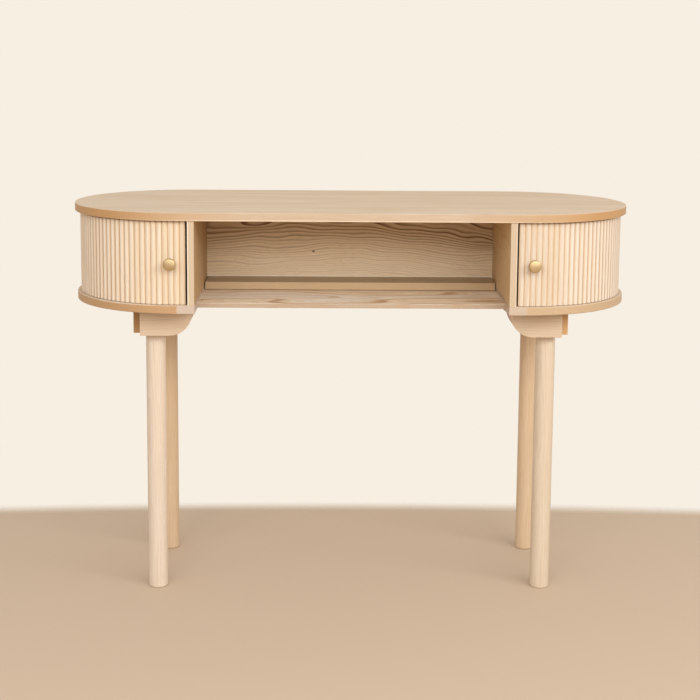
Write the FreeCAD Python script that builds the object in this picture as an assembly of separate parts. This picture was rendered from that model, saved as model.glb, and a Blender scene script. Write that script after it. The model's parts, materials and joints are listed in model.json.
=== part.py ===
# Tambour desk: stadium-shaped top, a D-shaped cabinet with a sliding slatted curtain at each end,
# an open bay between them and four round legs. Millimetres, +Z up, origin on the floor under the middle.
import FreeCAD, Part
import math
import os

from FreeCAD import Vector

# Overall sizes
desk_width = 1100.0
desk_depth = 440.0
desk_height = 760.0

# Boards
top_thickness = 16.0
bottom_board_thickness = 16.0
panel_thickness = 13.0
shelf_thickness = 9.0
ledge_thickness = 16.0
back_thickness = 16.0
cabinet_clear_height = 160.0
edge_round = 1.5
edge_ease = 0.8
panel_foot_chamfer = 1.5

# Where the boards stand
bottom_board_inset = 3.0
panel_from_arc_centre = 33.6
shelf_front_setback = 73.0
back_panel_rear_setback = 116.0
ledge_depth = 76.0
ledge_end_gap = 2.0

# Tambour
tambour_inset = 10.0
slat_width = 10.6
slat_gap = 0.5
slat_thickness = 8.0
slat_crown = 2.6
slat_top_gap = 3.0
slat_bottom_gap = 1.0
lead_gap = 4.0
tail_past_side_deg = 5.0
canvas_thickness = 0.8
canvas_margin = 14.0

# Grooves and the tongues that run in them
tongue_thickness = 4.0
tongue_width = 8.0
tongue_back_margin = 1.4
tongue_end_clearance = 0.6
groove_depth = 6.0
groove_clearance = 0.5

# Bent wall that closes the rear quarter of each cabinet
rear_wall_thickness = 4.0
rear_wall_clearance = 1.0
rear_wall_start_deg = 93.0

# Knob, its screw and washer
knob_slat_number = 3
knob_head_diameter = 24.0
knob_neck_diameter = 9.0
knob_foot_diameter = 13.0
knob_projection = 20.0
knob_head_length = 9.0
knob_dome = 3.2
knob_foot_length = 1.5
knob_seat_clearance = 0.1
knob_bore_depth = 12.0
knob_screw_diameter = 4.0
knob_screw_head_diameter = 8.0
knob_screw_head_height = 2.4
knob_screw_slot = 1.0
knob_washer_diameter = 9.6
knob_washer_thickness = 0.8

# Legs, blocks and rails
leg_diameter = 38.0
leg_past_arc_centre = 51.0
leg_front_setback = 104.0
foot_round = 3.0
block_length = 100.0
block_depth = 80.0
block_height = 54.0
block_past_leg = 26.0
block_corner_radius = 45.0
rail_thickness = 16.0
rail_end_setback = 30.0

# Fasteners
dowel_diameter = 6.0
dowel_length = 30.0
dowel_board_depth = 8.0
shelf_dowel_diameter = 5.0
shelf_dowel_length = 24.0
wood_screw_diameter = 4.5
wood_screw_head_diameter = 9.0
wood_screw_head_height = 2.8
recess_length = 5.4
recess_width = 1.1
recess_depth = 1.4
block_screw_length = 45.0
ledge_screw_cover = 5.0
back_screw_length = 40.0
leg_bolt_diameter = 8.0
leg_bolt_in_leg = 38.0
leg_bolt_end_gap = 1.0
insert_diameter = 12.0
insert_length = 20.0
fastener_clearance = 0.05
blind_end_clearance = 0.5

# Places of the hidden fasteners
panel_dowel_edge = 35.0
shelf_dowel_edge = 40.0
shelf_screw_end_margin = 94.0
back_dowel_spacing = 60.0
rail_dowel_edge = 10.0
rail_dowel_drop = 16.0
block_screw_spread_x = 40.0
block_screw_spread_y = 40.0

# Levels worked out from the sizes above
top_under = desk_height - top_thickness
board_upper = top_under - cabinet_clear_height
board_under = board_upper - bottom_board_thickness
shelf_under = board_under
shelf_upper = shelf_under + shelf_thickness
ledge_upper = shelf_upper + ledge_thickness
block_under = board_under - block_height
block_corner = min(block_corner_radius, block_height - edge_round)
ledge_screw_length = shelf_thickness + ledge_thickness - ledge_screw_cover
leg_bolt_in_block = insert_length - leg_bolt_end_gap

# Plan places worked out from the sizes above
half_depth = desk_depth / 2
arc_x = (desk_width - desk_depth) / 2
board_radius = half_depth - bottom_board_inset
panel_inner = arc_x - panel_from_arc_centre
panel_outer = panel_inner + panel_thickness
back_rear = half_depth - back_panel_rear_setback
back_front = back_rear - back_thickness
ledge_front = back_front - ledge_depth
shelf_front = -half_depth + shelf_front_setback
leg_x = arc_x + leg_past_arc_centre
leg_y = half_depth - leg_front_setback
block_outer = leg_x + block_past_leg
block_inner = block_outer - block_length
block_front = leg_y + block_depth / 2
block_back = leg_y - block_depth / 2
rail_end = block_front - rail_end_setback

# Radii and angles of the tambour, measured from the front of the desk towards its end
crown_radius = half_depth - tambour_inset
shoulder_radius = crown_radius - slat_crown
slat_back = crown_radius - slat_thickness
canvas_back = slat_back - canvas_thickness
tongue_inner = slat_back + tongue_back_margin
tongue_outer = tongue_inner + tongue_thickness
tongue_corner = math.hypot(tongue_outer, tongue_width / 2)
groove_outer = tongue_corner + groove_clearance
groove_inner = tongue_inner - groove_clearance
slat_pitch_deg = 2 * math.degrees(math.asin((slat_width + slat_gap) / 2 / shoulder_radius))
lead_deg = -math.degrees(math.asin((arc_x - panel_outer - lead_gap) / shoulder_radius))
slat_count = math.ceil((90 + tail_past_side_deg - lead_deg) / slat_pitch_deg)
tail_deg = lead_deg + slat_count * slat_pitch_deg
open_deg = 180 - lead_deg - tail_deg
knob_deg = lead_deg + (knob_slat_number - 0.5) * slat_pitch_deg
slat_low = board_upper + slat_bottom_gap
slat_high = top_under - slat_top_gap
tongue_reach = groove_depth - tongue_end_clearance
tongue_low = board_upper - tongue_reach
tongue_high = top_under + tongue_reach
knob_z = (slat_low + slat_high) / 2

up = Vector(0, 0, 1)
right = Vector(1, 0, 0)
sides = {"left": -1, "right": 1}
ends = {"front": -1, "rear": 1}


def on_arc(radius, degrees, z=0.0):
    """A point at the right-hand end, at an angle from the front round towards the side."""
    a = math.radians(degrees)
    return Vector(arc_x + radius * math.sin(a), -radius * math.cos(a), z)


def extrude(edges, height):
    return Part.Face(Part.Wire(edges)).extrude(Vector(0, 0, height))


def polyline(points):
    return Part.makePolygon(points + points[:1]).Edges


def box(x0, x1, y0, y1, z0, z1):
    return Part.makeBox(x1 - x0, y1 - y0, z1 - z0, Vector(x0, y0, z0))


def arc(first, middle, last):
    return Part.Arc(first, middle, last).toShape()


def line(first, last):
    return Part.LineSegment(first, last).toShape()


def to_side(shape, side):
    """Takes a shape made for the right-hand end to the end it belongs to."""
    return shape if side > 0 else shape.mirror(Vector(0, 0, 0), right)


def both_sides(shapes):
    return [to_side(shape, side) for side in sides.values() for shape in shapes]


def ring_sector(inner, outer, from_deg, to_deg, z0, z1):
    middle = (from_deg + to_deg) / 2
    outline = [
        arc(on_arc(outer, from_deg, z0), on_arc(outer, middle, z0), on_arc(outer, to_deg, z0)),
        line(on_arc(outer, to_deg, z0), on_arc(inner, to_deg, z0)),
        arc(on_arc(inner, to_deg, z0), on_arc(inner, middle, z0), on_arc(inner, from_deg, z0)),
        line(on_arc(inner, from_deg, z0), on_arc(outer, from_deg, z0)),
    ]
    return extrude(outline, z1 - z0)


def peg(centre, axis, diameter, length):
    start = centre - axis * (length / 2)
    return Part.makeCylinder(diameter / 2, length, start, axis)


def peg_hole(centre, axis, diameter, length):
    return peg(centre, axis, diameter + 2 * fastener_clearance, length + 2 * blind_end_clearance)


def dowel(centre, axis):
    return peg(centre, axis, dowel_diameter, dowel_length)


def dowel_hole(centre, axis):
    return peg_hole(centre, axis, dowel_diameter, dowel_length)


def countersunk(head, axis, length, allowance):
    """A countersunk screw, or its hole, from the middle of its head along an axis."""
    shank = wood_screw_diameter / 2 + allowance
    rim = wood_screw_head_diameter / 2 + allowance
    tip = length + (blind_end_clearance if allowance else 0.0)
    cone = Part.makeCone(rim, shank, wood_screw_head_height, head, axis)
    return cone.fuse(Part.makeCylinder(shank, tip, head, axis)).removeSplitter()


def wood_screw(head, axis, length):
    body = countersunk(head, axis, length, 0.0)
    a, b, c = recess_length / 2, recess_width / 2, recess_depth
    arms = [(a, b), (b, a)]
    recess = [Part.makeBox(2 * x, 2 * y, 2 * c, head - Vector(x, y, c)) for x, y in arms]
    return body.cut(recess)


def screw_hole(head, axis, length):
    return countersunk(head, axis, length, fastener_clearance)


def rounded_rim(shape):
    """Eases every edge that runs round the outline of a flat board."""
    z_faces = (shape.BoundBox.ZMin, shape.BoundBox.ZMax)
    rim = [e for e in shape.Edges if any(abs(e.BoundBox.ZMin - z) + abs(e.BoundBox.ZMax - z) < 0.01
                                         for z in z_faces)]
    return shape.makeFillet(edge_round, rim)


def eased(shape, chosen):
    """Takes the sharp corner off the edges whose middle point is chosen."""
    return shape.makeFillet(edge_ease, [e for e in shape.Edges if chosen(e.CenterOfMass)])


def same(a, b):
    return abs(a - b) < 0.01


# Fastener places, for the right-hand end where a fastener belongs to an end
panel_mid = (panel_inner + panel_outer) / 2
dowel_shift = dowel_length / 2 - dowel_board_depth
panel_dowel_y = board_radius - panel_dowel_edge
shelf_dowel_near = shelf_front + shelf_dowel_edge
shelf_dowel_far = back_rear - shelf_dowel_edge
panel_dowels = [Vector(panel_mid, y, z)
                for y in (-panel_dowel_y, (shelf_dowel_near + shelf_dowel_far) / 2, panel_dowel_y)
                for z in (top_under - dowel_shift, board_upper + dowel_shift)]
shelf_dowels = [Vector(panel_inner, y, (shelf_under + shelf_upper) / 2)
                for y in (shelf_dowel_near, shelf_dowel_far)]
back_middle = (shelf_upper + top_under) / 2
back_dowels = [Vector(panel_inner - dowel_shift, (back_front + back_rear) / 2, back_middle + dz)
               for dz in (-back_dowel_spacing / 2, back_dowel_spacing / 2)]
rail_dowels = [Vector(block_outer - dowel_shift, end * y, board_under - rail_dowel_drop)
               for end in ends.values()
               for y in (block_back + rail_dowel_edge, rail_end - rail_dowel_edge)]
block_screws = [Vector((block_inner + block_outer) / 2 + k * block_screw_spread_x / 2,
                       end * (leg_y - k * block_screw_spread_y / 2), board_upper)
                for end in ends.values()
                for k in (-1, 1)]
shelf_screw_reach = panel_inner - shelf_screw_end_margin
shelf_screw_x = (-shelf_screw_reach, 0.0, shelf_screw_reach)
ledge_screws = [Vector(x, (ledge_front + back_front) / 2, shelf_under) for x in shelf_screw_x]
back_screws = [Vector(x, (back_front + back_rear) / 2, shelf_under) for x in shelf_screw_x]

panel_dowel_holes = [dowel_hole(p, up) for p in panel_dowels]
shelf_dowel_holes = [peg_hole(p, right, shelf_dowel_diameter, shelf_dowel_length) for p in shelf_dowels]
back_dowel_holes = [dowel_hole(p, right) for p in back_dowels]
rail_dowel_holes = [dowel_hole(p, right) for p in rail_dowels]
block_screw_holes = [screw_hole(p, -up, block_screw_length) for p in block_screws]
ledge_screw_holes = [screw_hole(p, up, ledge_screw_length) for p in ledge_screws]
back_screw_holes = [screw_hole(p, up, back_screw_length) for p in back_screws]


# Boards
def groove(z0, z1):
    return ring_sector(groove_inner, groove_outer, lead_deg, 180 - lead_deg, z0, z1)


def desk_top():
    z = top_under
    near, far = Vector(arc_x, -half_depth, z), Vector(arc_x, half_depth, z)
    outline = [
        line(Vector(-arc_x, -half_depth, z), near),
        arc(near, Vector(desk_width / 2, 0, z), far),
        line(far, Vector(-arc_x, half_depth, z)),
        arc(Vector(-arc_x, half_depth, z), Vector(-desk_width / 2, 0, z), Vector(-arc_x, -half_depth, z)),
    ]
    board = rounded_rim(extrude(outline, top_thickness))
    return board.cut(both_sides([groove(z - 1, z + groove_depth)] + panel_dowel_holes))


def bottom_board():
    z = board_under
    inner_near, inner_far = Vector(panel_inner, -board_radius, z), Vector(panel_inner, board_radius, z)
    near, far = Vector(arc_x, -board_radius, z), Vector(arc_x, board_radius, z)
    outline = [
        line(inner_near, near),
        arc(near, Vector(arc_x + board_radius, 0, z), far),
        line(far, inner_far),
        line(inner_far, inner_near),
    ]
    board = extrude(outline, bottom_board_thickness)
    curved = [e for e in board.Edges if e.BoundBox.ZLength < 0.01 and e.BoundBox.XLength > 1]
    board = board.makeFillet(edge_round, curved)
    holes = panel_dowel_holes + shelf_dowel_holes + block_screw_holes
    return board.cut([groove(board_upper - groove_depth, board_upper + 1)] + holes)


def inner_panel():
    board = box(panel_inner, panel_outer, -board_radius, board_radius, board_upper, top_under)
    board = eased(board, lambda m: same(abs(m.y), board_radius) and same(m.z, (board_upper + top_under) / 2))
    foot_corner = polyline([
        Vector(panel_inner, -board_radius, board_upper),
        Vector(panel_inner + panel_foot_chamfer, -board_radius, board_upper),
        Vector(panel_inner, -board_radius, board_upper + panel_foot_chamfer),
    ])
    chamfer = Part.Face(Part.Wire(foot_corner)).extrude(Vector(0, 2 * board_radius, 0))
    return board.cut([chamfer] + panel_dowel_holes + back_dowel_holes)


def back_panel():
    board = box(-panel_inner, panel_inner, back_front, back_rear, shelf_upper, top_under)
    return board.cut(both_sides(back_dowel_holes) + back_screw_holes)


def bay_shelf():
    board = box(-panel_inner, panel_inner, shelf_front, back_rear, shelf_under, shelf_upper)
    board = eased(board, lambda m: same(m.y, shelf_front) and same(m.x, 0))
    return board.cut(both_sides(shelf_dowel_holes) + ledge_screw_holes + back_screw_holes)


def rear_ledge():
    reach = panel_inner - ledge_end_gap
    board = box(-reach, reach, ledge_front, back_front, shelf_upper, ledge_upper)
    board = eased(board, lambda m: same(m.y, ledge_front) and same(m.x, 0))
    return board.cut(ledge_screw_holes)


def rear_wall():
    inner = crown_radius + rear_wall_clearance
    outer = inner + rear_wall_thickness
    z0, z1 = board_upper, top_under
    bend = ring_sector(inner, outer, rear_wall_start_deg, 180, z0, z1)
    straight = box(panel_outer, arc_x, inner, outer, z0, z1)
    return bend.fuse(straight).removeSplitter()


# Tambour, made straight in front of the arc's centre and turned into place
def turned(shape, degrees):
    copy = shape.copy()
    copy.rotate(Vector(arc_x, 0, 0), up, degrees)
    return copy


def plain_slat():
    half = slat_width / 2
    shoulder, back, crown = -shoulder_radius, -slat_back, -crown_radius
    section = [
        line(Vector(arc_x - half, back, slat_low), Vector(arc_x + half, back, slat_low)),
        line(Vector(arc_x + half, back, slat_low), Vector(arc_x + half, shoulder, slat_low)),
        arc(Vector(arc_x + half, shoulder, slat_low), Vector(arc_x, crown, slat_low),
            Vector(arc_x - half, shoulder, slat_low)),
        line(Vector(arc_x - half, shoulder, slat_low), Vector(arc_x - half, back, slat_low)),
    ]
    stave = extrude(section, slat_high - slat_low)
    tongues = [box(arc_x - tongue_width / 2, arc_x + tongue_width / 2, -tongue_outer, -tongue_inner, z0, z1)
               for z0, z1 in ((tongue_low, slat_low), (slat_high, tongue_high))]
    return stave.fuse(tongues).removeSplitter()


def knob_axis_hole():
    reach = knob_screw_diameter / 2 + fastener_clearance
    return Part.makeCylinder(reach, crown_radius, Vector(arc_x, 0, knob_z), Vector(0, -1, 0))


def knob_seat():
    """The round flat that the knob's foot stands on, cut into the crowns of the slats behind it."""
    reach = knob_foot_diameter / 2 + knob_seat_clearance
    return Part.makeCylinder(reach, 2 * slat_crown, Vector(arc_x, -shoulder_radius, knob_z), Vector(0, -1, 0))


def tambour_slats():
    slat = plain_slat()
    slats = []
    for i in range(slat_count):
        at = lead_deg + (i + 0.5) * slat_pitch_deg
        piece = turned(slat, at)
        if abs(i + 1 - knob_slat_number) <= 1:
            piece = piece.cut(turned(knob_seat(), knob_deg))
        if i + 1 == knob_slat_number:
            piece = piece.cut(turned(knob_axis_hole(), knob_deg))
        slats.append(piece)
    return Part.makeCompound(slats)


def tambour_canvas():
    half_pitch = math.radians(slat_pitch_deg / 2)
    corner_angles = [lead_deg + i * slat_pitch_deg for i in range(slat_count + 1)]
    z0, z1 = slat_low + canvas_margin, slat_high - canvas_margin
    outer = [on_arc(slat_back / math.cos(half_pitch), a, z0) for a in corner_angles]
    inner = [on_arc(canvas_back / math.cos(half_pitch), a, z0) for a in reversed(corner_angles)]
    cloth = extrude(polyline(outer + inner), z1 - z0)
    return cloth.cut(turned(knob_axis_hole(), knob_deg))


def knob():
    foot, neck, head = knob_foot_diameter / 2, knob_neck_diameter / 2, knob_head_diameter / 2
    tip = knob_projection
    rim = tip - knob_dome
    under = tip - knob_head_length
    base = -slat_crown
    flare = (knob_foot_length + under) / 2
    dome_radius = (head ** 2 + knob_dome ** 2) / (2 * knob_dome)
    half_dome = math.asin(head / dome_radius) / 2
    dome_middle = Vector(dome_radius * math.sin(half_dome), 0, tip - dome_radius * (1 - math.cos(half_dome)))
    profile = [
        line(Vector(0, 0, base), Vector(foot, 0, base)),
        line(Vector(foot, 0, base), Vector(foot, 0, knob_foot_length)),
        line(Vector(foot, 0, knob_foot_length), Vector(neck, 0, knob_foot_length)),
        line(Vector(neck, 0, knob_foot_length), Vector(neck, 0, flare)),
        line(Vector(neck, 0, flare), Vector(head, 0, under)),
        line(Vector(head, 0, under), Vector(head, 0, rim)),
        arc(Vector(head, 0, rim), dome_middle, Vector(0, 0, tip)),
        line(Vector(0, 0, tip), Vector(0, 0, base)),
    ]
    body = Part.Face(Part.Wire(profile)).revolve(Vector(0, 0, 0), up, 360)
    thread = knob_screw_diameter / 2 + fastener_clearance
    return body.cut(Part.makeCylinder(thread, knob_bore_depth - base, Vector(0, 0, base)))


def knob_washer():
    ring = Part.makeCylinder(knob_washer_diameter / 2, knob_washer_thickness)
    hole = Part.makeCylinder(knob_screw_diameter / 2 + fastener_clearance, knob_washer_thickness)
    return ring.cut(hole)


def knob_screw():
    head = Part.makeCylinder(knob_screw_head_diameter / 2, knob_screw_head_height)
    grip = slat_thickness + canvas_thickness + knob_washer_thickness
    shank_length = knob_screw_head_height + grip + knob_bore_depth - blind_end_clearance
    shank = Part.makeCylinder(knob_screw_diameter / 2, shank_length)
    corner = Vector(-knob_screw_head_diameter / 2, -knob_screw_slot / 2, 0)
    slot = Part.makeBox(knob_screw_head_diameter, knob_screw_slot, knob_screw_slot, corner)
    return head.fuse(shank).removeSplitter().cut(slot)


def on_knob_axis(shape, radius):
    """Lays a shape made along +Z on the knob's axis, with its base at a distance from the arc's centre."""
    copy = shape.copy()
    copy.rotate(Vector(0, 0, 0), right, 90)
    copy.translate(Vector(arc_x, -radius, knob_z))
    return turned(copy, knob_deg)


# Legs and what holds them
def leg_block():
    z0, z1 = block_under, board_under
    low_x = block_inner + block_corner
    high_z = z0 + block_corner
    slant = block_corner * (1 - math.sqrt(0.5))
    y = -block_front
    outline = [
        line(Vector(low_x, y, z0), Vector(block_outer, y, z0)),
        line(Vector(block_outer, y, z0), Vector(block_outer, y, z1)),
        line(Vector(block_outer, y, z1), Vector(block_inner, y, z1)),
        line(Vector(block_inner, y, z1), Vector(block_inner, y, high_z)),
        arc(Vector(block_inner, y, high_z), Vector(block_inner + slant, y, z0 + slant), Vector(low_x, y, z0)),
    ]
    solid = Part.Face(Part.Wire(outline)).extrude(Vector(0, block_depth, 0))
    solid = eased(solid, lambda m: (same(m.y, -block_front) or same(m.y, -block_back))
                  and m.z < z1 - edge_ease and m.x < block_outer - edge_ease)
    insert_bore = peg_hole(Vector(leg_x, -leg_y, z0), up, insert_diameter, 2 * insert_length)
    return solid.cut([insert_bore] + rail_dowel_holes + block_screw_holes)


def side_rail():
    outer = block_outer + rail_thickness
    board = box(block_outer, outer, -rail_end, rail_end, block_under, board_under)
    board = eased(board, lambda m: same(m.x, outer) and m.z < board_under - edge_ease)
    return board.cut(rail_dowel_holes)


def leg():
    solid = Part.makeCylinder(leg_diameter / 2, block_under, Vector(leg_x, -leg_y, 0))
    rim = [e for e in solid.Edges if e.BoundBox.ZMax < 0.01]
    solid = solid.makeFillet(foot_round, rim)
    return solid.cut(peg_hole(Vector(leg_x, -leg_y, block_under), up, leg_bolt_diameter, 2 * leg_bolt_in_leg))


def leg_bolt():
    return Part.makeCylinder(leg_bolt_diameter / 2, leg_bolt_in_leg + leg_bolt_in_block,
                             Vector(leg_x, -leg_y, block_under - leg_bolt_in_leg))


def leg_insert():
    at = Vector(leg_x, -leg_y, block_under)
    bore = leg_bolt_diameter / 2 + fastener_clearance
    sleeve = Part.makeCylinder(insert_diameter / 2, insert_length, at)
    return sleeve.cut(Part.makeCylinder(bore, insert_length, at))


def to_end(shape, end):
    """Takes a shape made for the front to the front or rear of the desk."""
    return shape if end < 0 else shape.mirror(Vector(0, 0, 0), Vector(0, 1, 0))


def at_four_corners(shape):
    return Part.makeCompound([to_side(to_end(shape, end), side)
                              for side in sides.values() for end in ends.values()])


# One file for each node
nodes = {
    "desk_top": desk_top(),
    "back_panel": back_panel(),
    "bay_shelf": bay_shelf(),
    "rear_ledge": rear_ledge(),
}
end_pieces = {
    "bottom_board": bottom_board(),
    "inner_panel": inner_panel(),
    "rear_wall": rear_wall(),
    "side_rail": side_rail(),
    "tambour_slats": tambour_slats(),
    "tambour_canvas": tambour_canvas(),
    "knob": on_knob_axis(knob(), crown_radius),
    "knob_washer": on_knob_axis(knob_washer(), canvas_back - knob_washer_thickness),
    "knob_screw": on_knob_axis(knob_screw(), canvas_back - knob_washer_thickness - knob_screw_head_height),
}
corner_pieces = {"leg": leg(), "leg_block": leg_block()}
for side_name, side in sides.items():
    for name, shape in end_pieces.items():
        nodes[f"{side_name}_{name}"] = to_side(shape, side)
    for end_name, end in ends.items():
        for name, shape in corner_pieces.items():
            nodes[f"{side_name}_{end_name}_{name}"] = to_side(to_end(shape, end), side)

nodes["panel_dowels"] = Part.makeCompound(both_sides([dowel(p, up) for p in panel_dowels]))
nodes["shelf_dowels"] = Part.makeCompound(
    both_sides([peg(p, right, shelf_dowel_diameter, shelf_dowel_length) for p in shelf_dowels]))
nodes["back_panel_dowels"] = Part.makeCompound(both_sides([dowel(p, right) for p in back_dowels]))
nodes["rail_dowels"] = Part.makeCompound(both_sides([dowel(p, right) for p in rail_dowels]))
nodes["block_screws"] = Part.makeCompound(
    both_sides([wood_screw(p, -up, block_screw_length) for p in block_screws]))
nodes["ledge_screws"] = Part.makeCompound([wood_screw(p, up, ledge_screw_length) for p in ledge_screws])
nodes["back_panel_screws"] = Part.makeCompound([wood_screw(p, up, back_screw_length) for p in back_screws])
nodes["leg_bolts"] = at_four_corners(leg_bolt())
nodes["leg_inserts"] = at_four_corners(leg_insert())

os.makedirs("parts", exist_ok=True)
for name, shape in nodes.items():
    shape.exportStep(f"parts/{name}.step")

print(f"slats {slat_count}, pitch {slat_pitch_deg:.3f} deg, lead {lead_deg:.2f}, tail {tail_deg:.2f}")
print(f"tambour opens by {open_deg:.2f} deg, knob at {knob_deg:.2f} deg, nodes {len(nodes)}")
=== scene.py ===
# Looks of the tambour desk: oiled ash boards, slatted ends, turned legs and satin brass knobs.
import json
import math

import bmesh
import bpy
from mathutils import Matrix, Vector


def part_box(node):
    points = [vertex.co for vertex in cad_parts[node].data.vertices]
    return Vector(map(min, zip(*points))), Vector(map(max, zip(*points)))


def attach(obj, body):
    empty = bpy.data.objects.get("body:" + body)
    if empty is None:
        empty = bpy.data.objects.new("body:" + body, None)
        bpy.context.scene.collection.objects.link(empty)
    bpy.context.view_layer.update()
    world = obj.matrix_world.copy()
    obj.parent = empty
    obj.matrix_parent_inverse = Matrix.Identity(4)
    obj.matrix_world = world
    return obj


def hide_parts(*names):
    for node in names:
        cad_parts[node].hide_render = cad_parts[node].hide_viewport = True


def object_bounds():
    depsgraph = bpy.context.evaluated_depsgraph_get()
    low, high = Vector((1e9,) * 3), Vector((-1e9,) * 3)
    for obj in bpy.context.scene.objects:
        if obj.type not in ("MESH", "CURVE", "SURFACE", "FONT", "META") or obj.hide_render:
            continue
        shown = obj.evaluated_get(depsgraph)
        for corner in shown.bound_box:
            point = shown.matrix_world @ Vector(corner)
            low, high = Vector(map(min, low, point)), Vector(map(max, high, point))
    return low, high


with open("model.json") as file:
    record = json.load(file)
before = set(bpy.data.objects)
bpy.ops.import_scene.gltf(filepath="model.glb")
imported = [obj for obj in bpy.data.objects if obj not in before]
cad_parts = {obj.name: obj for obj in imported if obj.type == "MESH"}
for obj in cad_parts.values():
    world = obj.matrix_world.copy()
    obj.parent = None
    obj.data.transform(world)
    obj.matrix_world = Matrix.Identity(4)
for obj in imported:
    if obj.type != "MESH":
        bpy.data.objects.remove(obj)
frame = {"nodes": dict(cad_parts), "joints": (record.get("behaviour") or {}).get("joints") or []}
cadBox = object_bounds()
nodes = frame["nodes"]
scene = bpy.context.scene
mm = 0.001
sides = {"left": -1, "right": 1}
ends = ("front", "rear")

# Places that the frame gives
joints = {joint["name"]: joint for joint in frame["joints"]}
arcX = abs(joints["right_tambour_slide"]["pos_m"][0])    # middle of the round end
panelLow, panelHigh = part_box("right_inner_panel")
print("frame loaded, CAD nodes:", len(nodes))


# Small helpers for nodes, colours and meshes
def linear(hexColour):
    parts = [int(hexColour[i:i + 2], 16) / 255 for i in (1, 3, 5)]
    return tuple(c / 12.92 if c <= 0.04045 else ((c + 0.055) / 1.055) ** 2.4 for c in parts) + (1.0,)


def addNode(tree, kind, inputs=None, **settings):
    node = tree.nodes.new(kind)
    for key, value in settings.items():
        setattr(node, key, value)
    for key, value in (inputs or {}).items():
        if isinstance(value, bpy.types.NodeSocket):
            tree.links.new(value, node.inputs[key])
        else:
            node.inputs[key].default_value = value
    return node


def startMaterial(name):
    material = bpy.data.materials.new(name)
    material.use_nodes = True
    tree = material.node_tree
    tree.nodes.clear()
    shader = addNode(tree, "ShaderNodeBsdfPrincipled")
    addNode(tree, "ShaderNodeOutputMaterial", {"Surface": shader.outputs["BSDF"]})
    return material, tree, shader


def meshFrom(bm, name):
    bmesh.ops.recalc_face_normals(bm, faces=bm.faces)
    mesh = bpy.data.meshes.new(name)
    bm.to_mesh(mesh)
    bm.free()
    return mesh


def shadeByAngle(mesh, degrees):
    mesh.shade_smooth()
    mesh.set_sharp_from_angle(angle=math.radians(degrees))


def addObject(name, mesh):
    made = bpy.data.objects.new(name, mesh)
    scene.collection.objects.link(made)
    return made


def bakedMesh(made, name):
    # the mesh that an object's modifiers give, with the modifiers gone
    view = bpy.context.evaluated_depsgraph_get()
    mesh = bpy.data.meshes.new_from_object(made.evaluated_get(view), depsgraph=view)
    mesh.name = name
    made.modifiers.clear()
    return mesh


def prism(outline, low, high):
    # closed upright board on an outline that runs anticlockwise
    bm = bmesh.new()
    lower, upper = [[bm.verts.new((x, y, z)) for x, y in outline] for z in (low, high)]
    bm.faces.new(lower[::-1])
    bm.faces.new(upper)
    for i in range(len(outline)):
        bm.faces.new((lower[i - 1], lower[i], upper[i], upper[i - 1]))
    return bm


def turning(profile, steps):
    # closed lathe shape about +Z: the profile starts and ends on the axis
    bm = bmesh.new()
    rings = []
    for radius, height in profile:
        if radius == 0:
            rings.append([bm.verts.new((0, 0, height))] * steps)
            continue
        angles = [2 * math.pi * k / steps for k in range(steps)]
        rings.append([bm.verts.new((radius * math.cos(a), radius * math.sin(a), height)) for a in angles])
    for near, far in zip(rings, rings[1:]):
        for k in range(steps):
            corners = [near[k - 1], near[k], far[k], far[k - 1]]
            bm.faces.new(list(dict.fromkeys(corners)))
    return bm


def arcPoints(centre, radius, fromDegrees, toDegrees, steps):
    turns = [math.radians(fromDegrees + (toDegrees - fromDegrees) * k / steps) for k in range(steps + 1)]
    return [(centre[0] + radius * math.cos(a), centre[1] + radius * math.sin(a)) for a in turns]


def combined(mesh, tools, operation):
    # one mesh with others cut from it or added to it
    work = addObject("work", mesh)
    helpers = [addObject("helper", tool) for tool in tools]
    for helper in helpers:
        step = work.modifiers.new("step", "BOOLEAN")
        step.operation = operation
        step.solver = "EXACT"
        step.object = helper
    result = bakedMesh(work, mesh.name)
    for spare in [work] + helpers:
        bpy.data.objects.remove(spare)
    return result


def finishPiece(name, mesh, body, replaced, material):
    mesh.materials.clear()
    mesh.materials.append(material)
    piece = addObject(name, mesh)
    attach(piece, body)
    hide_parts(replaced)
    return piece


# Oiled ash: pale cream earlywood with tan latewood lines that run in arches on flat-sawn boards,
# short darker fibres and pores, a soft satin oil finish, and darker end grain
ashLook = {
    "grain": "X",               # axis that the fibres run along
    "heart": (0.0, 0.0),        # where the middle of the tree lies across the fibres, mm
    "lean": (0.0, 0.0),         # lean of the tree against the board, degrees: it draws the arches
    "bow": None,                # bend of the tree along X: its top and its drop bowReachMm away, mm
    "bowReachMm": 300.0,
    "ringMm": 4.0,              # width of a year's growth
    "wobbleMm": 5.0,            # how far the rings wander
    "wobbleLengthMm": 240.0,
    "wobbleDetail": 2.0,
    "wobbleAcross": 3.0,        # how much shorter the waves are across the fibres
    "latewood": 0.5,            # strength of the dark part of each ring
    "lateFrom": 0.25,           # where in a year's growth the dark part starts
    "thinLines": None,          # thin lines in each year's growth: how many and how strong
    "fibreMm": 0.9,
    "fibreLengthMm": 70.0,
    "fibres": 0.25,             # strength of the fibres
    "drift": 0.3,               # strength of the broad warm and pale bands
    "driftMm": 45.0,
    "pale": "#DBC8B1",
    "late": "#B38F68",
    "warm": "#CFB390",
    "endGrain": "#B38960",
    "roughness": (0.44, 0.58),
    "specular": 0.35,
    "bump": 0.12,
    "slatTint": None,           # share of the warm colour on the warmest slat, by its own tint
    "slatShade": None,          # painted shade, painted highlight and painted warm light colours for the three shares that each slat carries
    "joint": None,              # painted line at a joint or along an edge, dark for painted shade, pale for a painted highlight: axis, place and reach, mm
    # dark tone of the painted line: painted shade
    "jointTone": "#5E4027",
    "heartwood": None,          # where its own colour starts to fade and is gone, mm from the heart
    "heartTone": None,
    "quiet": 1.0,               # strength of the lines outside the heartwood
    "knot": None,               # pin knot: its middle, its half size along X and Z, mm, and its colour
    "edgeBand": None,           # straight and bent edge strip: two colours and the length of the change, mm
    "arris": None,              # painted highlight line along the arris of the straight strip: height and reach, mm, and colour
}

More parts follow.
